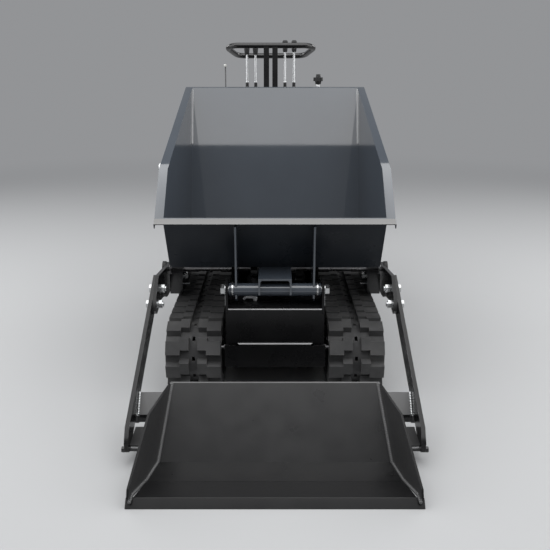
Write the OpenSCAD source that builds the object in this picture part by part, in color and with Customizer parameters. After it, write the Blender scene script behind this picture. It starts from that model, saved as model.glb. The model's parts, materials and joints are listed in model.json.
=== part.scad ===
// Tracked power carrier: a walk-behind mini dumper on two rubber tracks, with a tipping hopper and a
// loading shovel on two side arms. The front faces -Y, +Z is up, and the ground is z = 0 under its middle.

/* [Overall] */
// Length from the shovel's lip to the back of the handlebar
overall_len = 2140; // [2100:10:2180]
// Distance from the shovel's lip to the front of the tracks
shovel_reach = 583; // [575:1:595]

/* [Tracks] */
// Width of one rubber belt
belt_w = 180; // [170:2:184]
// Width over both belts
gauge_out = 704; // [700:2:710]
// Height of a track over its lugs
track_h = 235; // [230:1:240]
// Distance from one lug to the next
lug_pitch = 60; // [58:1:61]
// Lugs round one belt
lug_count = 37; // [36:1:38]
// Height of a lug above the belt
lug_h = 20; // [16:1:22]
// Thickness of the belt without its lugs
belt_t = 20; // [18:1:22]
// Height of the guide horns inside the belt
horn_h = 20; // [16:1:22]

/* [Chassis] */
// Width over the two side plates of the central box
box_w = 310; // [304:2:316]
// Thickness of the side plates
side_t = 8; // [6:1:10]
// Underside of the central box
box_low = 117; // [112:1:122]
// Top of the central box
box_top = 304; // [300:1:306]
// Height of the bend across the front cover
cover_bend = 197; // [190:1:205]
// Thickness of the front cover's sheet
cover_t = 4; // [3:0.5:5]

/* [Hopper] */
// Width over the hopper's side walls
hopper_w = 690; // [680:2:692]
// Thickness of the hopper's sheet
hopper_t = 3; // [2.5:0.5:4]
// Width of the flange round the rim
rim_w = 25; // [20:1:26]
// Height of the hopper's floor
floor_z = 400; // [398:1:405]
// Length of the hinge tube under the hopper's front
tube_len = 290; // [280:1:292]

/* [Loader] */
// Distance between the inner faces of the two loader arms
arm_gap = 788; // [786:1:796]
// Thickness of a loader arm and of its crank plate
arm_t = 12; // [10:1:12]
// Depth of a loader arm
arm_d = 60; // [54:1:64]
// Half width of the shovel at its fold
fold_half = 320; // [314:1:324]
// Flare of the shovel's sides, seen from above, in degrees
flare = 11; // [9:0.5:12]
// Thickness of the shovel's sheet
shovel_t = 6; // [5:0.5:6]

/* [Controls] */
// Sideways offset of the handlebar and levers from the middle
console_x = -20; // [-30:1:-10]
// Width of the handlebar loop between tube centres
loop_w = 398; // [380:2:410]
// Depth of the handlebar loop between tube centres
loop_d = 184; // [176:2:188]
// Diameter of the handlebar tube
bar_d = 25; // [22:1:28]
// Diameter of a control lever's rod
lever_d = 10; // [8:1:12]

/* [Hidden] */
$fn = 48;
ROLLERS = 3;

// Places along the machine
front_y = -overall_len / 2;
nose_y = front_y + shovel_reach;
axle_z = track_h / 2;
idler_y = nose_y + axle_z;

// Track sizes
belt_r = track_h / 2 - lug_h;
wheel_r = belt_r - belt_t;
pitch_r = wheel_r + belt_t / 2;
wheel_base = (lug_pitch * lug_count - 2 * PI * pitch_r) / 2;
sprocket_y = idler_y + wheel_base;
track_x = (gauge_out - belt_w) / 2;
half_turn = PI * pitch_r;
drum_r = wheel_r - 1;
roller_r = 37;
roller_z = lug_h + belt_t + 0.6 + roller_r;
window_w = 10;
window_len = 16;
horn_in = 15;
horn_out = 27;
drum_in = 30;
drum_out = 60;
frame_in = 66;
frame_t = 6;
roller_ys = [for (i = [1 : ROLLERS]) idler_y + wheel_base * i / (ROLLERS + 1)];
roller_axle_r = 10;
wheel_axle_r = 12.5;
drive_r = 14;
run_gap = 0.08;

// Pivots and pins as [y, z]
tip_pivot = [nose_y + 50, 357];
lift_pivot = [nose_y + 385, 330];
tip_base = [nose_y + 427, 150];
tip_eye = [nose_y + 202, 372];
lift_base = [nose_y + 727, 225];
rocker_r = 64;
rocker_dir = [cos(-59), sin(-59)];
lift_eye = lift_pivot + rocker_r * rocker_dir;
tip_cyl_x = -70;
lift_cyl_x = 90;
tip_len = norm(tip_eye - tip_base);
lift_len = norm(lift_eye - lift_base);
tip_angle = atan2(tip_eye[1] - tip_base[1], tip_eye[0] - tip_base[0]);
lift_angle = atan2(lift_eye[1] - lift_base[1], lift_eye[0] - lift_base[0]);
pin_r = 10;
shaft_r = 13;
hinge_r = 12;

// Hopper outline as [y, z]
floor_front = [nose_y + 155, floor_z];
floor_back = [nose_y + 750, floor_z];
back_top = [nose_y + 950, 941];
kink = [nose_y + 182, 718];
lip = [nose_y + 51, 585];
lip_out = lip + [-0.868, -0.497] * rim_w;
front_skin = hopper_t * norm(lip - floor_front) / (lip[1] - floor_front[1]);
back_skin = hopper_t * norm(back_top - floor_back) / (back_top[1] - floor_back[1]);
rib_x = 122;
rib_t = 6;
tube_r = 20.5;

// Shovel outline as [y, z]
fold = [front_y + 197, 0];
shovel_top = [front_y + 334, 178];
side_kink = [front_y + 166, 170];
side_front = [front_y + 10, 50];
blade_back = front_y + 110;
blade_h = 20;
shovel_pin = [front_y + 210, 40];

// Loader outline as [y, z]
arm_slope = [-0.902, -0.431];
arm_normal = [-0.431, 0.902];
arm_bolt = [nose_y + 167, 322];
bolt_step = 74;
arm_over = 35;
arm_len = 653;
brace_r = 5;
crank_x = arm_gap / 2 - arm_t;

// Controls as heights and distances
far_bar = [overall_len / 2 - bar_d / 2, 1070];
loop_tilt = -14;
near_bar = far_bar - loop_d * [cos(loop_tilt), sin(loop_tilt)];
post_w = 25;
post_step = 40;
lever_pivot = [965, 885];
lever_xs = [console_x - 114, console_x - 73, console_x + 68, console_x + 111];
lever_tops = [1128, 1128, 1140, 1140];
throttle_x = -234;
throttle_pivot = [905, 905];
cap_at = [197, 775];
tank_top = 928;
neck_r = 6;
neck_h = 16;
stem_r = 4;
deck_top = 310;
engine_at = [20, nose_y + 1055, deck_top];

// Colours
RUBBER = [0.13, 0.13, 0.14];
BLACK = [0.07, 0.07, 0.08];
SLATE = [0.26, 0.29, 0.33];
GREY = [0.24, 0.24, 0.25];
STEEL = [0.55, 0.56, 0.58];
ZINC = [0.78, 0.79, 0.8];

// Height of a straight wall from a to b, as its y at height z
function wall_y(a, b, z) = a[0] + (b[0] - a[0]) * (z - a[1]) / (b[1] - a[1]);

// Centre and outward direction of the belt at distance s along its pitch line
function belt_centre(s) =
    s < wheel_base ? idler_y + s
    : s < wheel_base + half_turn ? sprocket_y
    : s < 2 * wheel_base + half_turn ? sprocket_y - (s - wheel_base - half_turn)
    : idler_y;
function belt_angle(s) =
    s < wheel_base ? -90
    : s < wheel_base + half_turn ? -90 + (s - wheel_base) / pitch_r * 180 / PI
    : s < 2 * wheel_base + half_turn ? 90
    : 90 + (s - 2 * wheel_base - half_turn) / pitch_r * 180 / PI;

// A [y, z] outline drawn through the thickness t from x0
module plate_at(x0, t) {
    translate([x0, 0, 0])
        rotate([90, 0, 90])
            linear_extrude(t)
                children();
}

// A [y, z] outline drawn across the width w, centred
module across(w) {
    plate_at(-w / 2, w)
        children();
}

// A round bar along X at p = [y, z]
module bar_x(r, x0, x1, p) {
    translate([x0, p[0], p[1]])
        rotate([0, 90, 0])
            cylinder(r = r, h = x1 - x0);
}

// A hexagon head or nut along X at p = [y, z], across flats 2 * f
module hex_x(f, x0, x1, p) {
    translate([x0, p[0], p[1]])
        rotate([0, 90, 0])
            cylinder(r = f / cos(30), h = x1 - x0, $fn = 6);
}

// Turns a profile [radius, along] about X at p = [y, z], centred on x
module turned_x(x, p) {
    translate([x, p[0], p[1]])
        rotate([0, 90, 0])
            rotate_extrude()
                children();
}

// Draws the right-hand piece as it is, or its mirror image on the left
module on_side(side) {
    mirror([side < 0 ? 1 : 0, 0, 0])
        children();
}

// Both sides in one piece
module both_sides() {
    children();
    mirror([1, 0, 0])
        children();
}

// Tracks

module belt_outline(r) {
    translate([idler_y, axle_z])
        circle(r = r);
    translate([sprocket_y, axle_z])
        circle(r = r);
    translate([idler_y, axle_z - r])
        square([wheel_base, 2 * r]);
}

module on_belt(s) {
    translate([0, belt_centre(s), axle_z])
        rotate([belt_angle(s) - 90, 0, 0])
            children();
}

// A block across the belt from x0, w wide: base and top are its lengths along the belt
module belt_block(x0, w, shift, r0, r1, base, top) {
    translate([x0, shift, 0])
        rotate([90, 0, 90])
            linear_extrude(w)
                polygon([[-base / 2, r0], [base / 2, r0], [top / 2, r1], [-top / 2, r1]]);
}

module lug_half() {
    belt_block(42, belt_w / 2 - 44, 0, belt_r - 4, track_h / 2, 50, 44);
    belt_block(14, 30, 13, belt_r - 4, track_h / 2, 46, 40);
}

module track_belt() {
    color(RUBBER)
        translate([track_x, 0, 0])
            difference() {
                union() {
                    across(belt_w)
                        difference() {
                            belt_outline(belt_r);
                            belt_outline(wheel_r);
                        }
                    for (i = [0 : lug_count - 1]) {
                        on_belt(i * lug_pitch)
                            both_sides()
                                lug_half();
                        on_belt(i * lug_pitch)
                            both_sides()
                                belt_block(
                                    horn_in, horn_out - horn_in, 0, wheel_r + 4, wheel_r - horn_h, 24, 12
                                );
                    }
                }
                for (i = [0 : lug_count - 1])
                    on_belt((i + 0.5) * lug_pitch)
                        translate([-window_w / 2, -window_len / 2, wheel_r - 8])
                            cube([window_w, window_len, belt_t + 16]);
            }
}

module wheel_profile(bore, hub, web) {
    polygon([
        [bore, -drum_out - 2], [hub, -drum_out - 2], [hub, -web], [drum_r - 14, -web],
        [drum_r - 14, -drum_out], [drum_r, -drum_out], [drum_r, -drum_in], [52, -drum_in],
        [52, drum_in], [drum_r, drum_in], [drum_r, drum_out], [drum_r - 14, drum_out],
        [drum_r - 14, web], [hub, web], [hub, drum_out + 2], [bore, drum_out + 2]
    ]);
}

module idler() {
    color(STEEL)
        turned_x(track_x, [idler_y, axle_z])
            wheel_profile(wheel_axle_r + run_gap, 27, 46);
}

// The teeth run in the channel between the two rows of guide horns
module sprocket() {
    teeth = 9;
    tip_r = drum_r - 1;
    color(STEEL) {
        difference() {
            turned_x(track_x, [sprocket_y, axle_z])
                wheel_profile(drive_r, 30, 46);
            for (a = [0 : 60 : 300])
                bar_x(6, track_x - 80, track_x + 80, [sprocket_y, axle_z] + 42 * [cos(a), sin(a)]);
        }
        plate_at(track_x - 11, 22)
            translate([sprocket_y, axle_z])
                difference() {
                    polygon([for (i = [0 : teeth - 1], k = [[-13, 54], [-7, tip_r], [7, tip_r], [13, 54]])
                        k[1] * [cos(i * 360 / teeth + k[0]), sin(i * 360 / teeth + k[0])]]);
                    circle(r = 46);
                }
        bar_x(drive_r, track_x - 104, track_x + drum_out + 2, [sprocket_y, axle_z]);
    }
}

module roller(i) {
    color(STEEL)
        turned_x(track_x, [roller_ys[i], roller_z])
            polygon([
                [roller_axle_r + run_gap, -drum_out - 2], [17, -drum_out - 2], [17, -drum_out],
                [roller_r, -drum_out], [roller_r, -drum_in], [15, -drum_in],
                [15, drum_in], [roller_r, drum_in], [roller_r, drum_out],
                [17, drum_out], [17, drum_out + 2], [roller_axle_r + run_gap, drum_out + 2]
            ]);
}

// Two side plates joined by a top plate, which carries skid rails under the belt's upper run
module track_frame() {
    low = 60;
    high = 140;
    skid_x = 46;
    skid_w = 16;
    color(BLACK)
        difference() {
            union() {
                for (x = [track_x - frame_in - frame_t, track_x + frame_in])
                    plate_at(x, frame_t)
                        polygon([
                            [idler_y - 32, axle_z - 16], [idler_y - 16, axle_z - 32], [idler_y + 60, low],
                            [sprocket_y - 60, low], [sprocket_y + 16, axle_z - 32],
                            [sprocket_y + 32, axle_z - 16], [sprocket_y + 32, axle_z + 16],
                            [sprocket_y + 16, axle_z + 32], [sprocket_y - 60, high],
                            [idler_y + 60, high], [idler_y - 16, axle_z + 32], [idler_y - 32, axle_z + 16]
                        ]);
                plate_at(track_x - frame_in, 2 * frame_in)
                    translate([idler_y + 84, high - frame_t])
                        square([wheel_base - 168, frame_t]);
                for (s = [-1, 1])
                    translate([track_x + s * skid_x - skid_w / 2, idler_y + 110, high - frame_t])
                        cube([skid_w, wheel_base - 220, axle_z + wheel_r - high + frame_t]);
                for (y = [idler_y + 200, sprocket_y - 260])
                    translate([box_w / 2, y, high - 52])
                        cube([track_x - frame_in - frame_t - box_w / 2, 60, 46]);
            }
            for (y = roller_ys)
                bar_x(roller_axle_r, track_x - 100, track_x + 100, [y, roller_z]);
            bar_x(wheel_axle_r, track_x - 100, track_x + 100, [idler_y, axle_z]);
            bar_x(drive_r + 4, track_x - 100, track_x + 100, [sprocket_y, axle_z]);
            for (i = [0 : ROLLERS])
                bar_x(15, track_x + frame_in - 1, track_x + 100,
                    [idler_y + wheel_base * (i + 0.5) / (ROLLERS + 1), axle_z - 6]);
        }
}

module wheel_axles() {
    reach = frame_in + frame_t;
    color(ZINC)
        both_sides()
            translate([track_x, 0, 0]) {
                for (y = roller_ys) {
                    bar_x(roller_axle_r, -reach - 4, reach, [y, roller_z]);
                    hex_x(14, reach, reach + 9, [y, roller_z]);
                }
                bar_x(wheel_axle_r, -reach - 4, reach, [idler_y, axle_z]);
                hex_x(18, reach, reach + 10, [idler_y, axle_z]);
            }
}

// A hydraulic motor behind each sprocket, on the inner plate of its track frame
module drive_motors() {
    inner = track_x - frame_in - frame_t;
    color(BLACK)
        both_sides()
            difference() {
                union() {
                    bar_x(46, inner - 12, inner, [sprocket_y, axle_z]);
                    bar_x(38, inner - 33, inner - 12, [sprocket_y, axle_z]);
                }
                bar_x(drive_r + run_gap, inner - 36, inner + 1, [sprocket_y, axle_z]);
            }
}

// Chassis

module side_outline() {
    polygon([
        [nose_y - 2, box_low], [nose_y - 2, cover_bend - 6], [nose_y + 10, cover_bend - 6],
        [nose_y + 10, box_top], [tip_pivot[0] - 36, 345], [tip_pivot[0] - 26, 380], [tip_pivot[0], 392],
        [tip_pivot[0] + 26, 380], [tip_pivot[0] + 40, 345], [tip_pivot[0] + 56, box_top],
        [lift_pivot[0] - 58, box_top], [lift_pivot[0] - 30, 350], [lift_pivot[0] - 14, 360],
        [lift_pivot[0] + 14, 360], [lift_pivot[0] + 30, 350], [lift_pivot[0] + 58, box_top],
        [nose_y + 1330, box_top], [nose_y + 1330, 210], [nose_y + 1180, box_low]
    ]);
}

// Two plates with a bore for a cylinder's base pin, standing on the floor of the box
module base_lugs(x, p, gap) {
    for (s = [-1, 1])
        plate_at(x + s * (gap / 2 + 4) - 4, 8)
            difference() {
                polygon([
                    [p[0] - 45, box_low + 6], [p[0] + 45, box_low + 6], [p[0] + 20, p[1] + 12],
                    [p[0] + 10, p[1] + 20], [p[0] - 10, p[1] + 20], [p[0] - 20, p[1] + 12]
                ]);
                translate(p)
                    circle(r = pin_r);
            }
}

module chassis_frame() {
    inner_w = box_w - 2 * side_t;
    color(BLACK) {
        difference() {
            both_sides()
                plate_at(box_w / 2 - side_t, side_t)
                    side_outline();
            bar_x(hinge_r, -box_w, box_w, tip_pivot);
            bar_x(shaft_r + 1, -box_w, box_w, lift_pivot);
        }
        across(inner_w)
            translate([nose_y + 20, box_low])
                square([1160, 6]);
        for (y = [nose_y + 780, nose_y + 1290])
            across(inner_w)
                translate([y, box_low + (y > nose_y + 1000 ? 110 : 6)])
                    square([6, box_top - box_low - (y > nose_y + 1000 ? 110 : 6)]);
        base_lugs(tip_cyl_x, tip_base, 24);
        base_lugs(lift_cyl_x, lift_base, 24);
        both_sides()
            translate([box_w / 2 - 46, nose_y + 680, box_top])
                difference() {
                    cube([46, 60, 46]);
                    translate([-1, -1, -1])
                        cube([40, 62, 41]);
                }
    }
}

// A quarter of a sheet's bend in [y, z], with its centre at c and its outer face to the front and top
module sheet_bend(c, r, t) {
    translate(c)
        intersection() {
            difference() {
                circle(r = r);
                circle(r = r - t);
            }
            translate([-r, 0])
                square(r);
        }
}

// The top sheet is folded down the front between the ears. A second sheet stands before it lower down,
// folded back to it along its top edge between two relief holes.
module front_cover() {
    bend_r = 6;
    upper_y = nose_y + 6;
    lower_y = nose_y - 6;
    top = box_top + cover_t;
    relief_x = 118;
    color(BLACK) {
        across(box_w - 2 * side_t - 1) {
            translate([upper_y + bend_r, box_top])
                square([118, cover_t]);
            sheet_bend([upper_y + bend_r, top - bend_r], bend_r, cover_t);
            translate([upper_y, box_top - 24])
                square([cover_t, top - bend_r - box_top + 24]);
        }
        across(box_w - 6)
            translate([upper_y, cover_bend - 6])
                square([cover_t, box_top - cover_bend - 6]);
        difference() {
            union() {
                across(box_w + 8)
                    translate([lower_y, box_low])
                        square([cover_t, cover_bend - bend_r - box_low]);
                across(2 * relief_x) {
                    sheet_bend([lower_y + bend_r, cover_bend - bend_r], bend_r, cover_t);
                    translate([lower_y + bend_r, cover_bend - cover_t])
                        square([upper_y - lower_y - bend_r, cover_t]);
                }
            }
            both_sides()
                translate([relief_x, upper_y - 1, cover_bend - bend_r])
                    rotate([90, 0, 0])
                        cylinder(r = 5, h = 40);
        }
    }
}

// Hinge bolt with its keepers, panel screws, the cylinders' base pins and the bolts of the outriggers
module chassis_bolts() {
    ear = box_w / 2;
    screw = [nose_y + 14, 177];
    inner = crank_x - 52;
    color(ZINC) {
        bar_x(hinge_r, -ear, ear, tip_pivot);
        both_sides() {
            bar_x(19, ear, ear + 3, tip_pivot);
            hex_x(15, ear + 3, ear + 16, tip_pivot);
            translate([ear, tip_pivot[0] - 7, tip_pivot[1] - 52])
                cube([3, 14, 40]);
            hex_x(7, ear, ear + 7, screw);
            bar_x(4, ear, ear + 16, screw);
            bar_x(15, inner - 2, inner, lift_pivot + [22, -36]);
            hex_x(12, inner - 11, inner - 2, lift_pivot + [22, -36]);
            bar_x(4, inner - 15, inner, lift_pivot + [27, -68]);
        }
        for (c = [[tip_cyl_x, tip_base], [lift_cyl_x, lift_base]]) {
            bar_x(pin_r, c[0] - 20, c[0] + 20, c[1]);
            bar_x(pin_r + 5, c[0] + 20, c[0] + 25, c[1]);
            bar_x(pin_r + 5, c[0] - 25, c[0] - 20, c[1]);
        }
    }
}

module rest_buffers() {
    color(RUBBER)
        both_sides()
            translate([box_w / 2 - 23, nose_y + 710, box_top + 46])
                cylinder(r1 = 20, r2 = 17, h = floor_z - box_top - 46.5);
}

// A folded tray on the rear of the box that carries the engine
module rear_deck() {
    y0 = nose_y + 790;
    y1 = nose_y + 1345;
    half = 275;
    color(BLACK)
        difference() {
            translate([-half, y0, box_top - 34])
                cube([2 * half, y1 - y0, deck_top - box_top + 34]);
            translate([-half + 4, y0 + 4, box_top - 40])
                cube([2 * half - 8, y1 - y0 - 8, 40]);
            translate([-box_w / 2 - 1, y0 - 1, box_top - 40])
                cube([box_w + 2, y1 - y0 + 2, 40]);
        }
}

// Loader

// A box tube above the outer edge of the track, with the bearing of the shaft on top. A cross tube
// behind the shaft joins it to the central box.
module outrigger() {
    wall = 5;
    x0 = crank_x - 52;
    x1 = crank_x - 6;
    y0 = lift_pivot[0] - 48;
    y1 = lift_pivot[0] + 262;
    low = 247;
    high = 322;
    cross_d = 80;
    cross_low = 268;
    color(BLACK)
        difference() {
            union() {
                difference() {
                    union() {
                        translate([x0, y0, low])
                            cube([x1 - x0, y1 - y0, high - low]);
                        translate([box_w / 2, y1 - cross_d, cross_low])
                            cube([x0 + 1 - box_w / 2, cross_d, high - cross_low]);
                    }
                    translate([x0 + wall, y0 + wall, low + wall])
                        cube([x1 - x0 - 2 * wall, y1 - y0, high - low - 2 * wall]);
                    translate([box_w / 2 - 1, y1 - cross_d + wall, cross_low + wall])
                        cube([x0 - box_w / 2, cross_d - 2 * wall, high - cross_low - 2 * wall]);
                }
                bar_x(20, x0, crank_x - 9, lift_pivot);
            }
            bar_x(shaft_r + run_gap, x0 - 1, crank_x, lift_pivot);
        }
}

// A cross shaft with a short rocker below it that the lift cylinder pushes
module lift_shaft() {
    rocker_x = lift_cyl_x - 32;
    rocker_t = 16;
    side = [-rocker_dir[1], rocker_dir[0]];
    color(STEEL) {
        bar_x(shaft_r, -crank_x - arm_t, crank_x + arm_t, lift_pivot);
        bar_x(26, rocker_x, rocker_x + rocker_t, lift_pivot);
        difference() {
            plate_at(rocker_x, rocker_t)
                polygon([
                    lift_pivot + 24 * side, lift_eye + 16 * side, lift_eye + 8 * side + 15 * rocker_dir,
                    lift_eye - 8 * side + 15 * rocker_dir, lift_eye - 16 * side, lift_pivot - 24 * side
                ]);
            bar_x(shaft_r, rocker_x - 1, rocker_x + rocker_t + 1, lift_pivot);
        }
        bar_x(pin_r, rocker_x + rocker_t - 1, rocker_x + rocker_t + 3, lift_eye);
    }
}

// A flame-cut plate between the arm and the shaft, with a boss over the shaft's end
module crank() {
    p = lift_pivot;
    b = arm_bolt;
    color(BLACK) {
        difference() {
            plate_at(crank_x, arm_t)
                polygon([
                    b + [-21, 51], p + [-23, 17], p + [18, 17], p + [36, 0], p + [36, -68], p + [18, -87],
                    p + [-44, -87], p + [-88, -82], p + [-143, -60], b + [-10, -39], b + [-25, -50],
                    b + [-83, -59], b + [-105, -42], b + [-86, -4]
                ]);
            bar_x(shaft_r, 0, arm_gap, p);
            for (k = [0, 1])
                bar_x(8, 0, arm_gap, b + k * bolt_step * arm_slope);
        }
        bar_x(24, crank_x + arm_t, crank_x + 2 * arm_t, p);
    }
}

function on_arm(along, across) = arm_bolt + along * arm_slope + across * arm_normal;

// A flat bar on the outside of the crank plate, with a cut-back lower end
module arm() {
    half = arm_d / 2;
    end = arm_len - arm_over;
    color(BLACK)
        difference() {
            plate_at(arm_gap / 2, arm_t)
                polygon([
                    on_arm(-arm_over, half), on_arm(end - 43, half), on_arm(end - 6, half - 22),
                    on_arm(end, half - 38), on_arm(end, -half + 8), on_arm(end - 10, -half),
                    on_arm(-arm_over, -half)
                ]);
            for (k = [0, 1])
                bar_x(8, 0, arm_gap, on_arm(k * bolt_step, 0));
            bar_x(brace_r, 0, arm_gap, shovel_pin);
        }
}

// Bolts through arm and crank plate, with nuts on the inside
module loader_bolts() {
    out = arm_gap / 2 + arm_t;
    color(ZINC)
        both_sides()
            for (k = [0, 1]) {
                bar_x(8, crank_x - 20, out + 1, on_arm(k * bolt_step, 0));
                bar_x(14, crank_x - 3, crank_x, on_arm(k * bolt_step, 0));
                hex_x(12, crank_x - 15, crank_x - 3, on_arm(k * bolt_step, 0));
                bar_x(14, out, out + 3, on_arm(k * bolt_step, 0));
                hex_x(12, out + 3, out + 12, on_arm(k * bolt_step, 0));
            }
}

// Inclined plate with a turned-down front edge, from arm to arm behind the shovel. Gussets hold the
// shovel's back to it, and a brace rod runs from each arm's end to the shovel's side.
module shovel_beam() {
    back_lean = shovel_t * norm(shovel_top - fold) / shovel_top[1];
    back = function (z) wall_y(fold, shovel_top, z) + back_lean;
    face = front_y + 330;
    gusset_t = 10;
    head_r = 8;
    color(BLACK) {
        across(arm_gap)
            polygon([
                [face, 56], [face + 8, 56], [face + 8, 77], [face + 48, 126], [face + 42, 131], [face, 80]
            ]);
        for (x = [-280, -120, 120, 280])
            plate_at(x - gusset_t / 2, gusset_t)
                polygon([
                    [back(60), 60], [face + 3, 60], [face + 3, 80], [face + 38, 122], [back(122), 122]
                ]);
        both_sides() {
            bar_x(brace_r, side_x(shovel_pin[0] - brace_r), arm_gap / 2 + arm_t + 5, shovel_pin);
            bar_x(head_r, arm_gap / 2 + arm_t, arm_gap / 2 + arm_t + 10, shovel_pin);
        }
    }
}

// Plan position of the outer face of the shovel's side
function side_x(y) = fold_half + shovel_t + (fold[0] - y) * tan(flare);

// The folded floor and back, and two flared side plates
module shovel() {
    stretch = 1 / cos(flare);
    lean = shovel_t * norm(shovel_top - fold) / shovel_top[1];
    side_pts = [
        [blade_back, 0], fold, shovel_top, side_kink, side_front,
        [front_y + 3, 26], [front_y + 26, blade_h + 4], [blade_back, shovel_t]
    ];
    color(GREY) {
        difference() {
            across(2 * side_x(front_y))
                polygon([
                    [blade_back, 0], fold + [lean * 0.6, 0], shovel_top + [lean, 0], shovel_top,
                    [wall_y(fold, shovel_top, shovel_t), shovel_t], [blade_back, shovel_t]
                ]);
            both_sides()
                linear_extrude(3 * shovel_top[1], center = true)
                    polygon([
                        [side_x(front_y) - shovel_t / 2, front_y], [side_x(0) - shovel_t / 2, 0],
                        [side_x(0) + 400, 0], [side_x(front_y) + 400, front_y]
                    ]);
        }
        both_sides()
            translate([side_x(fold[0]) - shovel_t, fold[0], 0])
                rotate([0, 0, flare])
                    plate_at(0, shovel_t)
                        polygon([for (p = side_pts) [(p[0] - fold[0]) * stretch, p[1]]]);
    }
}

// A thick blade with a bevelled front, welded under the floor's front edge
module cutting_edge() {
    end = side_x(front_y) + 4;
    color(GREY)
        difference() {
            across(2 * end)
                polygon([
                    [front_y, 0], [front_y + blade_h, blade_h], [blade_back, shovel_t], [blade_back, 0]
                ]);
            both_sides()
                linear_extrude(200, center = true)
                    polygon([
                        [side_x(front_y + 40) - shovel_t, front_y + 20], [side_x(0) - shovel_t, 0],
                        [end + 50, 0], [end + 50, front_y + 20]
                    ]);
        }
}

// Hopper

module hopper_shell() {
    half = hopper_w / 2;
    brim = back_top[1] + 60;
    flange_root = back_top[1] - hopper_t - 1;
    rim_a = (kink - lip) / norm(kink - lip);
    rim_b = (back_top - kink) / norm(back_top - kink);
    down_a = [rim_a[1], -rim_a[0]] * hopper_t;
    down_b = [rim_b[1], -rim_b[0]] * hopper_t;
    color(SLATE) {
        difference() {
            across(hopper_w)
                polygon([floor_front, floor_back, back_top, kink, lip]);
            across(hopper_w - 2 * hopper_t)
                polygon([
                    [wall_y(floor_front, lip, floor_z + hopper_t) + front_skin, floor_z + hopper_t],
                    [wall_y(floor_back, back_top, floor_z + hopper_t) - back_skin, floor_z + hopper_t],
                    [wall_y(floor_back, back_top, brim) - back_skin, brim],
                    [lip[0] + front_skin - 6, brim],
                    [wall_y(floor_front, lip, lip[1] + 10) + front_skin, lip[1] + 10]
                ]);
        }
        both_sides()
            plate_at(half - hopper_t, rim_w + hopper_t)
                polygon([
                    lip, kink, back_top, back_top + down_b, kink + (down_a + down_b) / 2, lip + down_a
                ]);
        across(2 * (half + rim_w))
            polygon([lip, lip + down_a, lip_out + [0.5, -0.87] * hopper_t, lip_out]);
        both_sides()
            plate_at(half + rim_w - hopper_t, hopper_t)
                polygon([lip_out, lip_out + [4, -14], lip_out + [18, -4], lip_out + [18, 8]]);
        across(2 * (half + rim_w))
            polygon([
                back_top, back_top + [rim_w, 2], back_top + [rim_w, 2 - hopper_t],
                [wall_y(floor_back, back_top, flange_root) - 1, flange_root]
            ]);
    }
}

// Two ribs under the front wall that carry the hinge tube, and the tip cylinder's lug
module hopper_ribs() {
    c = tip_pivot;
    lug_x = tip_cyl_x + 16;
    color(SLATE) {
        for (s = [-1, 1])
            plate_at(s * rib_x - rib_t / 2, rib_t)
                difference() {
                    polygon([
                        [wall_y(floor_front, lip, 562), 562], lip_out + [5, -10], c + [-16, -26],
                        c + [-6, -35], c + [20, -30], [floor_front[0] + 40, floor_z], floor_front
                    ]);
                    translate(c)
                        circle(r = tube_r);
                }
        plate_at(lug_x, 10)
            polygon([
                tip_eye + [-20, floor_z - tip_eye[1]], tip_eye + [-18, -6], tip_eye + [-8, -17],
                tip_eye + [8, -17], tip_eye + [18, -6], tip_eye + [50, floor_z - tip_eye[1]]
            ]);
        bar_x(pin_r, lug_x - 3, lug_x + 1, tip_eye);
    }
}

module hinge_tube() {
    color(SLATE)
        turned_x(0, tip_pivot)
            polygon([
                [hinge_r + run_gap, -tube_len / 2], [tube_r, -tube_len / 2],
                [tube_r, tube_len / 2], [hinge_r + run_gap, tube_len / 2]
            ]);
}

// A folded bracket from the floor's front edge over the hinge tube
module hopper_bracket() {
    half = 52;
    t = 6;
    inner_r = 8;
    c = tip_pivot;
    color(SLATE)
        difference() {
            across(2 * half)
                polygon([
                    c + [-26, -10], c + [18, -10], c + [60, floor_z - c[1] - t],
                    [floor_front[0] + 24, floor_z - t], [floor_front[0] + 24, floor_z],
                    c + [-26, floor_z - c[1]]
                ]);
            translate([0, c[0] - 40, c[1]])
                rotate([-90, 0, 0])
                    linear_extrude(400) {
                        translate([-half + t, -(floor_z - c[1] - t - inner_r)])
                            square([2 * (half - t), 120]);
                        translate([-half + t + inner_r, -(floor_z - c[1] - t)])
                            square([2 * (half - t - inner_r), 120]);
                        for (s = [-1, 1])
                            translate([s * (half - t - inner_r), -(floor_z - c[1] - t - inner_r)])
                                circle(r = inner_r);
                    }
            bar_x(tube_r, -200, 200, c);
        }
}

// A plated round head under the left rim
module rim_stop() {
    half = hopper_w / 2;
    at = kink + [105, -12];
    color(ZINC)
        turned_x(-half - 9, at)
            polygon([[0, 0], [7, 0], [11, 3], [12, 6], [14, 6], [14, 9], [0, 9]]);
}

// Cylinders

// Barrel from its base pin along its own +Z, bored for the rod, with a gland nut at the end
module barrel(len, r, rod_r) {
    difference() {
        union() {
            rotate([0, 90, 0])
                cylinder(r = 20, h = 22, center = true);
            translate([0, 0, 38])
                cylinder(r = r, h = len - 38);
            translate([0, 0, len - 22])
                cylinder(r = r + 3, h = 22);
            translate([-9, -14, 6])
                cube([18, 28, 33]);
        }
        rotate([0, 90, 0])
            cylinder(r = pin_r + run_gap, h = 40, center = true);
        translate([0, 0, 40])
            cylinder(r = rod_r + run_gap, h = len);
    }
}

// Rod from inside the barrel to its eye at len
module piston_rod(start, len, rod_r) {
    difference() {
        union() {
            translate([0, 0, start])
                cylinder(r = rod_r, h = len - 12 - start);
            translate([0, 0, len])
                rotate([0, 90, 0])
                    cylinder(r = 16, h = 22, center = true);
        }
        translate([0, 0, len])
            rotate([0, 90, 0])
                cylinder(r = pin_r + 0.3, h = 40, center = true);
    }
}

module on_cylinder(x, base, angle) {
    translate([x, base[0], base[1]])
        rotate([angle - 90, 0, 0])
            children();
}

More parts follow.
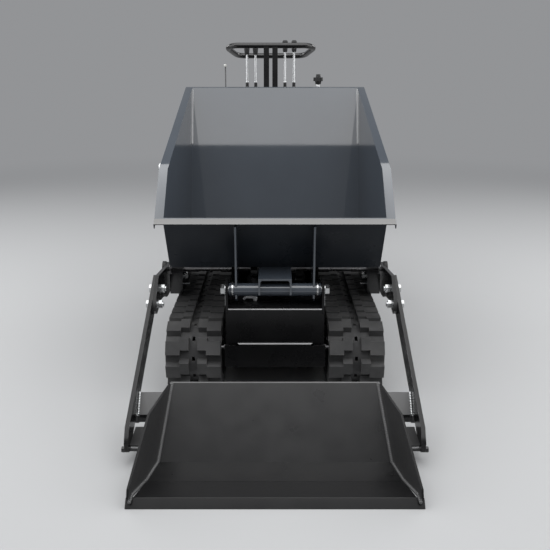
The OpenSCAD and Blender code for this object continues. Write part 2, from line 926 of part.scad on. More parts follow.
module tip_barrel() {
    color(BLACK)
        on_cylinder(tip_cyl_x, tip_base, tip_angle)
            barrel(tip_len - 55, 22, 12);
}

module tip_rod() {
    color(ZINC)
        on_cylinder(tip_cyl_x, tip_base, tip_angle)
            piston_rod(46, tip_len, 12);
}

module lift_barrel() {
    color(BLACK)
        on_cylinder(lift_cyl_x, lift_base, lift_angle)
            barrel(lift_len - 50, 22, 12);
}

module lift_rod() {
    color(ZINC)
        on_cylinder(lift_cyl_x, lift_base, lift_angle)
            piston_rod(46, lift_len, 12);
}

// Engine and hydraulics

module engine_block() {
    color(STEEL)
        translate(engine_at) {
            translate([-62, -95, 0])
                cube([162, 190, 18]);
            translate([-62, -80, 18])
                cube([152, 160, 130]);
            translate([90, 0, 95])
                rotate([0, 90, 0])
                    cylinder(r = 55, h = 22);
            translate([15, 0, 95])
                rotate([25, 0, 0]) {
                    translate([-50, -45, 40])
                        cube([100, 90, 130]);
                    for (i = [0 : 6])
                        translate([-66, -60, 66 + i * 14])
                            cube([132, 120, 5]);
                }
            for (x = [-30, 84])
                translate([x, 34, 140])
                    cube([8, 44, 136]);
        }
}

// Fan housing with a round slotted guard for the pull starter
module engine_shroud() {
    guard = [0, 95];
    color(BLACK)
        translate(engine_at)
            difference() {
                union() {
                    plate_at(-120, 58)
                        polygon([
                            [-92, 20], [92, 20], [104, 60], [104, 150], [60, 205], [-60, 205],
                            [-104, 150], [-104, 60]
                        ]);
                    bar_x(84, -142, -120, guard);
                }
                for (i = [0 : 11])
                    translate([-146, guard[0], guard[1]])
                        rotate([i * 30, 0, 0])
                            translate([0, -5, 34])
                                cube([20, 10, 36]);
                bar_x(20, -146, -136, guard);
            }
}

module fuel_tank() {
    color(BLACK)
        translate(engine_at + [64, 8, 276]) {
            plate_at(-95, 190)
                polygon([[-70, 0], [70, 0], [85, 12], [85, 60], [62, 82], [-62, 82], [-85, 60], [-85, 12]]);
            translate([10, 0, 80])
                cylinder(r = 32, h = 24);
        }
}

module muffler() {
    color(STEEL)
        translate(engine_at + [120, 0, 150])
            difference() {
                union() {
                    plate_at(0, 84)
                        polygon([
                            [-70, 14], [-56, 0], [56, 0], [70, 14], [70, 84], [56, 98], [-56, 98], [-70, 84]
                        ]);
                    translate([60, 60, 50])
                        rotate([-90, 0, 0])
                            cylinder(r = 14, h = 40);
                    bar_x(16, -39, 1, [-42, 45]);
                }
                translate([60, 60, 50])
                    rotate([-90, 0, 0])
                        cylinder(r = 11, h = 60);
                for (i = [0 : 4])
                    translate([78, -50, 20 + i * 14])
                        cube([10, 90, 6]);
            }
}

module air_cleaner() {
    color(BLACK)
        translate(engine_at + [-103, 0, 205]) {
            cylinder(r = 16, h = 14);
            translate([0, 0, 12])
                cylinder(r = 44, h = 64);
            translate([0, 0, 76])
                cylinder(r1 = 44, r2 = 34, h = 14);
            translate([0, 0, 90])
                cylinder(r = 11, h = 14);
        }
}

module hydraulic_pump() {
    p = [engine_at[1], engine_at[2] + 95];
    color(BLACK) {
        bar_x(48, engine_at[0] + 112, engine_at[0] + 124, p);
        plate_at(engine_at[0] + 124, 76)
            translate([p[0] - 40, p[1] - 46])
                square([80, 92]);
        for (s = [-1, 1])
            translate([engine_at[0] + 162, p[0] + s * 40, p[1]])
                rotate([-s * 90, 0, 0])
                    cylinder(r = 15, h = 12);
    }
}

// Welded tank beside the posts, with a plated filler neck
module oil_tank() {
    x0 = 90;
    x1 = 315;
    y0 = cap_at[1] - 75;
    y1 = cap_at[1] + 75;
    color(BLACK) {
        plate_at(x0, x1 - x0)
            polygon([
                [y0 + 60, deck_top], [y1, deck_top], [y1, tank_top], [y0, tank_top], [y0, 640],
                [y0 + 60, 560]
            ]);
        translate([cap_at[0], cap_at[1], tank_top])
            difference() {
                cylinder(r = neck_r, h = neck_h);
                translate([0, 0, 2])
                    cylinder(r = stem_r, h = neck_h);
            }
    }
}

// Filler cap: a lobed grip with a stem that closes the neck
module oil_cap() {
    lobes = 5;
    grip_r = 22;
    color(BLACK)
        translate([cap_at[0], cap_at[1], tank_top + neck_h + 0.3]) {
            translate([0, 0, 3 - neck_h])
                cylinder(r = stem_r - run_gap, h = neck_h - 2);
            cylinder(r1 = 12, r2 = 15, h = 14);
            translate([0, 0, 14])
                difference() {
                    cylinder(r = grip_r, h = 16);
                    for (i = [0 : lobes - 1])
                        translate([cos(i * 360 / lobes) * 25, sin(i * 360 / lobes) * 25, -1])
                            cylinder(r = 9, h = 18);
                }
            translate([0, 0, 30])
                cylinder(r1 = 12, r2 = 9, h = 14);
        }
}

// Controls

function post_y(z) = near_bar[0] - (near_bar[1] - z) * 0.115;

// Two square posts, hollowed at the top to seat the loop
module handlebar_posts() {
    top = near_bar[1] - 6;
    half = post_w / 2;
    color(BLACK)
        difference() {
            for (s = [-0.5, 0.5])
                plate_at(console_x + s * post_step - half, post_w)
                    polygon([
                        [post_y(deck_top) - half, deck_top], [post_y(deck_top) + half, deck_top],
                        [post_y(top) + half, top], [post_y(top) - half, top]
                    ]);
            bar_x(bar_d / 2, console_x - 2 * post_step, console_x + 2 * post_step, near_bar);
        }
}

// A closed loop of bent tube, sloping down to the rear, whose sides draw together towards the operator.
// The sides follow a 7-24-25 triangle, so that bends and straights meet on round numbers.
module handlebar() {
    r = bar_d / 2;
    bend_r = 50;
    side_dir = [-0.28, 0.96];
    side_out = [0.96, 0.28];
    near_half = loop_w / 2 - bend_r;
    side_len = (loop_d - 2 * bend_r) / side_dir[1];
    far_half = near_half + side_len * side_dir[0];
    far = 250;
    color(BLACK)
        translate([console_x, near_bar[0], near_bar[1]])
            rotate([loop_tilt, 0, 0]) {
                translate([-near_half, 0, 0])
                    rotate([0, 90, 0])
                        cylinder(r = r, h = 2 * near_half);
                translate([-far_half, loop_d, 0])
                    rotate([0, 90, 0])
                        cylinder(r = r, h = 2 * far_half);
                both_sides() {
                    translate([near_half, bend_r, 0])
                        tube_bend(bend_r, r, [[0, 0], [0, -far], [far, -far], far * side_out]);
                    translate([far_half, loop_d - bend_r, 0])
                        tube_bend(bend_r, r, [[0, 0], far * side_out, [far, far], [0, far]]);
                    translate([near_half + bend_r * side_out[0], bend_r + bend_r * side_out[1], 0])
                        rotate([0, 0, asin(side_out[1])])
                            rotate([-90, 0, 0])
                                cylinder(r = r, h = side_len);
                }
            }
}

// The part of a ring of tube that lies in a wedge seen from above
module tube_bend(bend_r, r, wedge) {
    intersection() {
        rotate_extrude()
            translate([bend_r, 0])
                circle(r = r);
        linear_extrude(4 * r, center = true)
            polygon(wedge);
    }
}

// Sheet box behind the posts that holds the valve, open below, slotted for the levers
module console() {
    t = 3;
    x0 = -262;
    x1 = 130;
    y1 = lever_pivot[0] + 55;
    z0 = 810;
    z1 = 918;
    front = function (z) post_y(z) + post_w / 2;
    color(BLACK)
        difference() {
            plate_at(x0, x1 - x0)
                polygon([
                    [front(z0), z0], [y1 - 20, z0], [y1, z0 + 30], [y1, z1 - 14], [y1 - 14, z1],
                    [front(z1), z1]
                ]);
            plate_at(x0 + t, x1 - x0 - 2 * t)
                polygon([
                    [front(z0 - 1) + t, z0 - 1], [y1 - t - 20, z0 - 1], [y1 - t, z0 + 30],
                    [y1 - t, z1 - t - 13], [y1 - t - 13, z1 - t], [front(z1 - t) + t, z1 - t]
                ]);
            for (x = lever_xs)
                translate([x - 9, lever_pivot[0] - 24, z1 - 10])
                    cube([18, 48, 20]);
            translate([throttle_x - 5, throttle_pivot[0] - 16, z1 - 10])
                cube([10, 32, 20]);
        }
}

// A row of valve sections on one bank, each with the bracket that carries a lever
module control_valve() {
    base = lever_pivot[1] - 14;
    color(STEEL) {
        translate([-220, lever_pivot[0] - 30, 820])
            cube([326, 60, base - 820]);
        for (x = [-190, 62])
            translate([x, lever_pivot[0] - 20, base - 2])
                cube([20, 40, 915 - base + 2]);
        for (x = lever_xs)
            for (s = [-1, 1])
                plate_at(x + s * 9 - 2, 4)
                    difference() {
                        translate([lever_pivot[0] - 11, base])
                            square([22, 24]);
                        translate(lever_pivot)
                            circle(r = 4);
                    }
        for (x = lever_xs)
            bar_x(4, x - 11, x + 11, lever_pivot);
        for (s = [-1, 1])
            plate_at(throttle_x + s * 7 - 1.5, 3)
                polygon([
                    [throttle_pivot[0] - 8, 820], [lever_pivot[0] - 30, 820], [lever_pivot[0] - 30, 850],
                    [throttle_pivot[0] + 8, throttle_pivot[1] + 6],
                    [throttle_pivot[0] - 8, throttle_pivot[1] + 6]
                ]);
        translate([throttle_x - 8.5, lever_pivot[0] - 30, 820])
            cube([30, 60, 20]);
        bar_x(3, throttle_x - 8.5, throttle_x + 8.5, throttle_pivot);
    }
}

// A plated rod on a boss, with a tapered grip
module lever(i) {
    grip = 54;
    top = lever_tops[i] - lever_pivot[1];
    color(ZINC)
        translate([lever_xs[i], lever_pivot[0], lever_pivot[1]]) {
            difference() {
                union() {
                    rotate([0, 90, 0])
                        cylinder(r = 9, h = 13, center = true);
                    cylinder(r = lever_d / 2, h = top - grip + 10);
                }
                rotate([0, 90, 0])
                    cylinder(r = 4 + run_gap, h = 30, center = true);
            }
            translate([0, 0, top - grip])
                rotate_extrude()
                    polygon([
                        [0, 0], [9, 0], [11, 6], [14, grip - 16], [13, grip - 6], [8, grip], [0, grip]
                    ]);
        }
}

module throttle_lever() {
    color(ZINC)
        translate([throttle_x, throttle_pivot[0], throttle_pivot[1]]) {
            difference() {
                union() {
                    rotate([0, 90, 0])
                        cylinder(r = 6, h = 10, center = true);
                    cylinder(r = 3, h = 118);
                }
                rotate([0, 90, 0])
                    cylinder(r = 3 + run_gap, h = 30, center = true);
            }
            translate([0, 0, 114])
                rotate_extrude()
                    polygon([[0, 0], [5, 0], [7.5, 4], [7.5, 9], [5, 12], [0, 12]]);
        }
}

chassis_frame();
front_cover();
rear_deck();
chassis_bolts();
rest_buffers();
on_side(-1) track_frame();  // track_frame_left
on_side(1) track_frame();  // track_frame_right
on_side(-1) track_belt();  // track_belt_left
on_side(1) track_belt();  // track_belt_right
wheel_axles();
drive_motors();
on_side(-1) sprocket();  // sprocket_left
on_side(1) sprocket();  // sprocket_right
on_side(-1) idler();  // idler_left
on_side(1) idler();  // idler_right
on_side(-1) roller(0);  // roller_left_1
on_side(-1) roller(1);  // roller_left_2
on_side(-1) roller(2);  // roller_left_3
on_side(1) roller(0);  // roller_right_1
on_side(1) roller(1);  // roller_right_2
on_side(1) roller(2);  // roller_right_3
on_side(-1) outrigger();  // outrigger_left
on_side(1) outrigger();  // outrigger_right
lift_shaft();
on_side(-1) crank();  // crank_left
on_side(1) crank();  // crank_right
on_side(-1) arm();  // arm_left
on_side(1) arm();  // arm_right
loader_bolts();
shovel_beam();
shovel();
cutting_edge();
hopper_shell();
hopper_ribs();
hinge_tube();
hopper_bracket();
rim_stop();
tip_barrel();
tip_rod();
lift_barrel();
lift_rod();
engine_block();
engine_shroud();
fuel_tank();
muffler();
air_cleaner();
hydraulic_pump();
oil_tank();
oil_cap();
console();
control_valve();
handlebar();
handlebar_posts();
lever(0);  // lever_tip
lever(1);  // lever_lift
lever(2);  // lever_drive_left
lever(3);  // lever_drive_right
throttle_lever();
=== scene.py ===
# Tracked power carrier: a walk-behind mini dumper with a tipping hopper and a loading shovel.
# The pieces are dressed in the order in which the machine is put together.

import json
import math

import bpy
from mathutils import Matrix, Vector


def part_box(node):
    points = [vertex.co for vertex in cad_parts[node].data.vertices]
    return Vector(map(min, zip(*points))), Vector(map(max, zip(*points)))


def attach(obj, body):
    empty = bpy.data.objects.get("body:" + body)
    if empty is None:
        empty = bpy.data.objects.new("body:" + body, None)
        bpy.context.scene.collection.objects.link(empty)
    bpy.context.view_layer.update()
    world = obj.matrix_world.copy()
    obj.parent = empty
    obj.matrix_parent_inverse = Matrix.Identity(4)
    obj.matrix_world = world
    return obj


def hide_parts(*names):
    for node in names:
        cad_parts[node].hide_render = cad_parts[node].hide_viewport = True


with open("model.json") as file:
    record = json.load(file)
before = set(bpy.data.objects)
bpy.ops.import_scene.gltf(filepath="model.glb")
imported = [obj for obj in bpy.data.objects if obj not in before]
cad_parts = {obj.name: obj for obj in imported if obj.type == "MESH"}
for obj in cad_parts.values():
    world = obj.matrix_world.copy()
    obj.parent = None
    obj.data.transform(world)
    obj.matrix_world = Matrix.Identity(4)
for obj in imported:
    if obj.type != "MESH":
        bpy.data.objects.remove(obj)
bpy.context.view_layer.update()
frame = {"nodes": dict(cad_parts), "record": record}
nodes = frame["nodes"]
record = frame["record"]
bpy.ops.object.select_all(action="DESELECT")

# Studio
# A pale floor in a grey room. The front edge of the broad soft box overhead shows as the line between light
# and dark in the glossy back wall of the hopper, and weaker boxes stand at the sides and the rear corners.

camera_tilt = 17.07
camera_data = bpy.data.cameras.new("front_camera")
camera_data.lens = 45.82
camera_data.sensor_width = 36.0
camera = bpy.data.objects.new("front_camera", camera_data)
camera.location = (0.0, -2.537, 1.05)
camera.rotation_euler = (math.radians(90.0 - camera_tilt), 0.0, 0.0)
bpy.context.scene.collection.objects.link(camera)
bpy.context.scene.camera = camera
bpy.context.scene.view_settings.view_transform = "Standard"

room_colour = (0.29, 0.295, 0.305, 1.0)
world = bpy.data.worlds.new("grey_room")
bpy.context.scene.world = world
world.use_nodes = True
world.node_tree.nodes["Background"].inputs["Color"].default_value = room_colour
world.node_tree.nodes["Background"].inputs["Strength"].default_value = 1.0


def soft_box(name, watts, width, length, place, tilt=0.0, turn=0.0):
    """A lit rectangle, tilted up from facing the floor and then turned about the vertical, in degrees."""
    lamp = bpy.data.lights.new(name, "AREA")
    lamp.shape = "RECTANGLE"
    lamp.size = width
    lamp.size_y = length
    lamp.energy = watts
    holder = bpy.data.objects.new(name, lamp)
    holder.location = place
    holder.rotation_euler = (math.radians(tilt), 0.0, math.radians(turn))
    bpy.context.scene.collection.objects.link(holder)


overhead_front = -2.71
overhead_back = 1.37
overhead_middle = (overhead_front + overhead_back) / 2
sides = {"left": -1.0, "right": 1.0}
soft_box("overhead_box", watts=110.0, width=3.8, length=overhead_back - overhead_front,
         place=(0.0, overhead_middle, 2.8))
for side, sign in sides.items():
    soft_box(side + "_box", watts=58.0, width=3.6, length=2.8,
             place=(sign * 3.6, -0.7, 1.7), tilt=69.0, turn=sign * 78.0)
for side, sign in sides.items():
    soft_box("back_" + side + "_box", watts=36.0, width=2.2, length=1.8,
             place=(sign * 2.9, 2.6, 2.1), tilt=65.0, turn=sign * 135.0)

fade_start = 1.5
fade_end = 6.0
bpy.ops.mesh.primitive_plane_add(size=60.0, location=(0.0, 0.0, 0.0))
floor = bpy.context.object
floor.name = "studio_floor"
floor_paint = bpy.data.materials.new("pale_floor")
floor_paint.use_nodes = True
floor_tree = floor_paint.node_tree
floor_shader = floor_tree.nodes["Principled BSDF"]
floor_shader.inputs["Base Color"].default_value = (0.42, 0.425, 0.43, 1.0)
floor_shader.inputs["Roughness"].default_value = 0.6
floor_place = floor_tree.nodes.new("ShaderNodeTexCoord")
floor_reach = floor_tree.nodes.new("ShaderNodeVectorMath")
floor_reach.operation = "LENGTH"
floor_tree.links.new(floor_place.outputs["Object"], floor_reach.inputs[0])
floor_fade = floor_tree.nodes.new("ShaderNodeMapRange")
floor_fade.interpolation_type = "SMOOTHSTEP"
floor_fade.inputs["From Min"].default_value = fade_start
floor_fade.inputs["From Max"].default_value = fade_end
floor_tree.links.new(floor_reach.outputs["Value"], floor_fade.inputs["Value"])
floor_far = floor_tree.nodes.new("ShaderNodeEmission")
floor_far.inputs["Color"].default_value = room_colour
floor_mix = floor_tree.nodes.new("ShaderNodeMixShader")
floor_tree.links.new(floor_fade.outputs["Result"], floor_mix.inputs["Fac"])
floor_tree.links.new(floor_shader.outputs["BSDF"], floor_mix.inputs[1])
floor_tree.links.new(floor_far.outputs["Emission"], floor_mix.inputs[2])
floor_tree.links.new(floor_mix.outputs["Shader"], floor_tree.nodes["Material Output"].inputs["Surface"])
floor.data.materials.append(floor_paint)

# Rubber tracks
# Each belt is one moulded ring of black rubber over steel cords, with stepped lugs outside and two rows of
# guide horns inside. Mould and ground leave the corners of the lugs rounded and slightly greyed.

body_of = {}
for body, members in record["behaviour"]["bodies"].items():
    for member in members:
        body_of[member] = body
weld_distance = 0.00002
flat_angle = math.radians(0.6)
sharp_corner = 35.0


def merged_copy(node):
    """A copy of a piece with its loose triangles joined into clean faces."""
    bpy.ops.object.select_all(action="DESELECT")
    piece = bpy.data.objects.new(node + "_dressed", nodes[node].data.copy())
    bpy.context.scene.collection.objects.link(piece)
    bpy.context.view_layer.objects.active = piece
    piece.select_set(True)
    bpy.ops.mesh.customdata_custom_splitnormals_clear()
    bpy.ops.object.mode_set(mode="EDIT")
    bpy.ops.mesh.select_all(action="SELECT")
    bpy.ops.mesh.remove_doubles(threshold=weld_distance)
    bpy.ops.mesh.dissolve_limited(angle_limit=flat_angle)
    bpy.ops.object.mode_set(mode="OBJECT")
    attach(piece, body_of[node])
    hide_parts(node)
    return piece


def break_edges(piece, width, corner, segments=2, miter="MITER_SHARP"):
    """Round the edges that turn by more than corner, in degrees."""
    bevel = piece.modifiers.new("broken_edges", "BEVEL")
    bevel.width = width
    bevel.segments = segments
    bevel.limit_method = "ANGLE"
    bevel.angle_limit = math.radians(corner)
    bevel.miter_outer = miter
    bpy.ops.object.modifier_apply(modifier=bevel.name)


def eased(node, width, segments=2):
    """A copy of a piece with its sharp edges broken, as a press brake, a grinder or a mould leaves them."""
    piece = merged_copy(node)
    break_edges(piece, width, sharp_corner, segments, miter="MITER_ARC")
    bpy.ops.object.shade_smooth_by_angle(angle=math.radians(sharp_corner))
    flat = piece.modifiers.new("flat_faces", "WEIGHTED_NORMAL")
    flat.keep_sharp = True
    bpy.ops.object.modifier_apply(modifier=flat.name)
    return piece


def wear_material(piece, material):
    """Give a piece one finish all over."""
    piece.data.materials.clear()
    piece.data.materials.append(material)


def new_skin(name):
    """An empty material with its shader and the piece's own coordinates."""
    material = bpy.data.materials.new(name)
    material.use_nodes = True
    tree = material.node_tree
    shader = tree.nodes["Principled BSDF"]
    place = tree.nodes.new("ShaderNodeTexCoord")
    return material, tree, shader, place.outputs["Object"]


def cloud(tree, place, scale, detail=3.0):
    """Soft noise, with about scale patches to the metre."""
    noise = tree.nodes.new("ShaderNodeTexNoise")
    noise.inputs["Scale"].default_value = scale
    noise.inputs["Detail"].default_value = detail
    tree.links.new(place, noise.inputs["Vector"])
    return noise.outputs["Fac"]


def spread(tree, value, given, wanted):
    """Stretch a value from the two ends of given to the two ends of wanted."""
    ranged = tree.nodes.new("ShaderNodeMapRange")
    ranged.inputs["From Min"].default_value = given[0]
    ranged.inputs["From Max"].default_value = given[1]
    ranged.inputs["To Min"].default_value = wanted[0]
    ranged.inputs["To Max"].default_value = wanted[1]
    tree.links.new(value, ranged.inputs["Value"])
    return ranged.outputs["Result"]


def mixed(tree, share, first, second):
    """A colour between first and second, each a colour or another node's colour."""
    mix = tree.nodes.new("ShaderNodeMix")
    mix.data_type = "RGBA"
    tree.links.new(share, mix.inputs["Factor"])
    for entry, socket in ((first, mix.inputs["A"]), (second, mix.inputs["B"])):
        if isinstance(entry, tuple):
            socket.default_value = (*entry, 1.0)
        else:
            tree.links.new(entry, socket)
    return mix.outputs["Result"]


def edge_share(tree, radius, sharp, flat):
    """Near 1 along the outer corners of a piece, where it rubs and where an edge highlight is painted."""
    rounded = tree.nodes.new("ShaderNodeBevel")
    rounded.samples = 6
    rounded.inputs["Radius"].default_value = radius
    geometry = tree.nodes.new("ShaderNodeNewGeometry")
    dot = tree.nodes.new("ShaderNodeVectorMath")
    dot.operation = "DOT_PRODUCT"
    tree.links.new(rounded.outputs["Normal"], dot.inputs[0])
    tree.links.new(geometry.outputs["Normal"], dot.inputs[1])
    return spread(tree, dot.outputs["Value"], (flat, sharp), (0.0, 1.0))


def bumped(tree, shader, height, depth, strength):
    """Raise and sink the surface by a height node."""
    bump = tree.nodes.new("ShaderNodeBump")
    bump.inputs["Distance"].default_value = depth
    bump.inputs["Strength"].default_value = strength
    tree.links.new(height, bump.inputs["Height"])
    tree.links.new(bump.outputs["Normal"], shader.inputs["Normal"])


def rubber_skin(name, colour, dusty):
    """Moulded rubber: a fine grain, with dust in patches and along the corners."""
    material, tree, shader, place = new_skin(name)
    dust = spread(tree, cloud(tree, place, scale=9.0, detail=5.0), (0.42, 0.7), (0.0, 0.55))
    body_colour = mixed(tree, dust, colour, dusty)
    rubbed = edge_share(tree, radius=0.004, sharp=0.55, flat=0.97)
    tree.links.new(mixed(tree, rubbed, body_colour, dusty), shader.inputs["Base Color"])
    matt = spread(tree, cloud(tree, place, scale=60.0), (0.3, 0.7), (0.55, 0.8))
    tree.links.new(matt, shader.inputs["Roughness"])
    shader.inputs["Specular IOR Level"].default_value = 0.4
    grain = cloud(tree, place, scale=420.0, detail=4.0)
    bumped(tree, shader, grain, depth=0.0006, strength=0.35)
    return material


lug_edge = 0.0025
track_rubber = rubber_skin("track_rubber", (0.052, 0.052, 0.053), (0.105, 0.104, 0.103))
for side in sides:
    wear_material(eased("track_belt_" + side, lug_edge), track_rubber)

# Track wheels, axles and frames
# Drums and rollers are iron castings, painted black and rubbed bare where they run. They turn on plated
# axles between two flame-cut plates.


def painted_skin(name, colour, shade, roughness, peel, specular=0.5, edge_wear_and_highlight=None):
    """Paint or powder coat over metal: a slow change of tone, orange peel, and pale edges that may show
    wear; on the arms and cranks the pale edges are also a painted highlight.
    """
    material, tree, shader, place = new_skin(name)
    tone = spread(tree, cloud(tree, place, scale=4.0, detail=4.0), (0.35, 0.65), (0.0, 1.0))
    paint = mixed(tree, tone, colour, shade)
    if edge_wear_and_highlight:
        ragged = tree.nodes.new("ShaderNodeMath")
        ragged.operation = "MULTIPLY"
        edges = edge_share(tree, radius=0.0015, sharp=0.6, flat=0.95)
        patches = spread(tree, cloud(tree, place, scale=30.0), (0.4, 0.62), (0.0, 1.0))
        tree.links.new(edges, ragged.inputs[0])
        tree.links.new(patches, ragged.inputs[1])
        paint = mixed(tree, ragged.outputs["Value"], paint, edge_wear_and_highlight)
    tree.links.new(paint, shader.inputs["Base Color"])
    uneven = (roughness * 0.85, roughness * 1.2)
    gloss = spread(tree, cloud(tree, place, scale=18.0, detail=5.0), (0.3, 0.7), uneven)
    tree.links.new(gloss, shader.inputs["Roughness"])
    shader.inputs["Specular IOR Level"].default_value = specular
    orange_peel = cloud(tree, place, scale=520.0, detail=1.0)
    bumped(tree, shader, orange_peel, depth=0.0003, strength=peel)
    return material


def plated_skin(name, colour, shade, roughness):
    """Zinc, chrome or bare metal: bright, with faint clouds and fine scratches."""
    material, tree, shader, place = new_skin(name)
    shader.inputs["Metallic"].default_value = 1.0
    tone = spread(tree, cloud(tree, place, scale=40.0, detail=5.0), (0.35, 0.65), (0.0, 1.0))
    tree.links.new(mixed(tree, tone, colour, shade), shader.inputs["Base Color"])
    uneven = (roughness * 0.75, roughness * 1.3)
    gloss = spread(tree, cloud(tree, place, scale=90.0, detail=6.0), (0.3, 0.7), uneven)
    tree.links.new(gloss, shader.inputs["Roughness"])
    scratches = cloud(tree, place, scale=700.0, detail=2.0)
    bumped(tree, shader, scratches, depth=0.0001, strength=0.12)
    return material


cut_edge = 0.001
zinc = plated_skin("zinc_plate", (0.62, 0.63, 0.64), (0.5, 0.51, 0.51), roughness=0.24)
iron = painted_skin("painted_iron", (0.03, 0.03, 0.032), (0.045, 0.044, 0.043),
                    roughness=0.5, peel=0.3, edge_wear_and_highlight=(0.2, 0.19, 0.18))
chassis_black = painted_skin("chassis_black", (0.0045, 0.0045, 0.005), (0.007, 0.007, 0.0075),
                             roughness=0.28, peel=0.1, specular=0.28)
for node in nodes:
    if node.startswith(("sprocket_", "idler_", "roller_")):
        wear_material(nodes[node], iron)
for side in sides:
    wear_material(eased("track_frame_" + side, cut_edge), chassis_black)
wear_material(nodes["wheel_axles"], zinc)
wear_material(nodes["drive_motors"], iron)

# Central chassis
# A welded box of thick side plates with a folded sheet over its front, all in black powder coat, with a
# painted highlight in light grey along the bend of the front sheet. Its upper bolts are zinc plated and the
# low studs are duller, and rubber buffers take the hopper's weight.


def add_skin(piece, material, chosen):
    """Another finish on the faces that chosen picks."""
    piece.data.materials.append(material)
    index = len(piece.data.materials) - 1
    for face in piece.data.polygons:
        if chosen(face):
            face.material_index = index


def two_skins(node, finish, other, chosen, corner=sharp_corner):
    """A copy of a turned piece with another finish on the faces that chosen picks."""
    piece = merged_copy(node)
    wear_material(piece, finish)
    add_skin(piece, other, chosen)
    bpy.ops.object.shade_smooth_by_angle(angle=math.radians(corner))


folded_edge = 0.0012
deck_edge = 0.0015
low_studs = 0.25
# Light grey on the bend of the front sheet: a painted highlight, standing in for the reflection on a rounded
# bend.
bend_painted_highlight = painted_skin("bend_painted_highlight", (0.24, 0.24, 0.245), (0.32, 0.32, 0.325),
                           roughness=0.3, peel=0.1, specular=0.6)
rear_black = painted_skin("rear_black", (0.017, 0.017, 0.018), (0.023, 0.023, 0.024),
                          roughness=0.3, peel=0.12, specular=0.4, edge_wear_and_highlight=(0.14, 0.14, 0.142))
dull_steel = plated_skin("dull_steel", (0.2, 0.2, 0.205), (0.15, 0.15, 0.152), roughness=0.5)
buffer_rubber = rubber_skin("buffer_rubber", (0.016, 0.016, 0.016), (0.03, 0.03, 0.03))


def on_front_bend(face):
    """The bend of the folded sheet, between its front and its top."""
    return face.normal.y < -0.35 and face.normal.z > 0.35


wear_material(eased("chassis_frame", folded_edge), chassis_black)
cover = eased("front_cover", folded_edge)
wear_material(cover, chassis_black)
add_skin(cover, bend_painted_highlight, on_front_bend)
wear_material(eased("rear_deck", deck_edge), rear_black)
two_skins("chassis_bolts", zinc, dull_steel, lambda face: face.center.z < low_studs, corner=30.0)
wear_material(nodes["rest_buffers"], buffer_rubber)

# Loader
# Outriggers of box tube carry a cross shaft. Crank plates and flat arms are flame cut, ground and painted in
# gloss black, with pale edges that are partly wear and partly a painted highlight, and bolted with plated
# hexagon bolts. The beam behind the shovel is a folded plate, with its inclined front painted lighter grey
# as a reflection.

tube_edge = 0.0015
crank_edge = 0.0012
arm_edge = 0.0014
beam_foot = 0.07
loader_black = painted_skin("loader_black", (0.009, 0.009, 0.01), (0.013, 0.013, 0.014),
                            roughness=0.16, peel=0.06, specular=0.6)
# The pale edges of the arms and cranks are partly wear and partly a painted highlight along their edges.
arm_black = painted_skin("arm_black", (0.006, 0.006, 0.0065), (0.009, 0.009, 0.0095),
                         roughness=0.24, peel=0.06, specular=0.3, edge_wear_and_highlight=(0.4, 0.4, 0.41))
# Lighter grey on the inclined front of the beam: a painted reflection.
beam_front_sheen = painted_skin("beam_front_sheen", (0.14, 0.14, 0.141), (0.165, 0.165, 0.166), roughness=0.36, peel=0.12)
shaft_steel = plated_skin("shaft_steel", (0.42, 0.42, 0.43), (0.34, 0.33, 0.33), roughness=0.32)


def on_beam_front(face):
    """The inclined front of the folded beam."""
    return face.normal.y < -0.6 and face.normal.z > 0.4 and face.center.z > beam_foot


for side in sides:
    wear_material(eased("outrigger_" + side, tube_edge), loader_black)
    wear_material(eased("crank_" + side, crank_edge), arm_black)
    wear_material(eased("arm_" + side, arm_edge), arm_black)
beam = eased("shovel_beam", folded_edge)
wear_material(beam, loader_black)
add_skin(beam, beam_front_sheen, on_beam_front)
wear_material(nodes["loader_bolts"], zinc)
wear_material(nodes["lift_shaft"], shaft_steel)

# Shovel
# The floor and back are one folded sheet with flared side plates welded on, in a dull dark grey. Painted
# shade darkens the top of the floor, the blade and the tops of the sides, painted light makes the faces of
# the side plates and the stays paler, and the top of the back is paler too. Light grey beads on the welds
# are painted highlights. The cutting edge is a thick bevelled blade under the floor, and stays and heels of
# flat plate fill in beside the arms.

shovel_end = 0.28
floor_level = 0.03
back_top = 0.17
shovel_grey = painted_skin("shovel_grey", (0.019, 0.019, 0.0195), (0.022, 0.022, 0.0225),
                           roughness=0.32, peel=0.2)
# Darker on the top of the floor and on the blade: painted shade.
shovel_floor_shade = painted_skin("shovel_floor_shade", (0.007, 0.007, 0.0075), (0.009, 0.009, 0.0095),
                            roughness=0.32, peel=0.2, specular=0.38)
# Lighter on the faces of the side plates and on the arm stays: painted light.
shovel_side_light = painted_skin("shovel_side_light", (0.03, 0.03, 0.0305), (0.035, 0.035, 0.0355),
                           roughness=0.36, peel=0.2, specular=0.45)
# Darker along the tops of the side plates: painted shade.
side_rim_shade = painted_skin("side_rim_shade", (0.008, 0.008, 0.0085), (0.011, 0.011, 0.0115),
                          roughness=0.4, peel=0.2, specular=0.2)
# Paler along the top edge of the back.
pale_back_rim = painted_skin("pale_back_rim", (0.12, 0.12, 0.121), (0.16, 0.16, 0.161), roughness=0.36, peel=0.2)
# Light grey on the weld beads: a painted highlight along the beads.
weld_highlight_grey = painted_skin("weld_highlight_grey", (0.07, 0.07, 0.071), (0.11, 0.11, 0.112),
                         roughness=0.3, peel=0.2, specular=0.6)


def on_floor(face):
    """The top of the shovel's floor."""
    return face.normal.z > 0.9 and face.center.z < floor_level


def on_side_rim(face):
    """The upper edges of the flared sides."""
    return abs(face.center.x) > shovel_end and face.normal.z > 0.2 and face.center.z > floor_level


def on_back_rim(face):
    """The upper edge of the back."""
    return abs(face.center.x) < shovel_end and face.normal.z > 0.8 and face.center.z > back_top


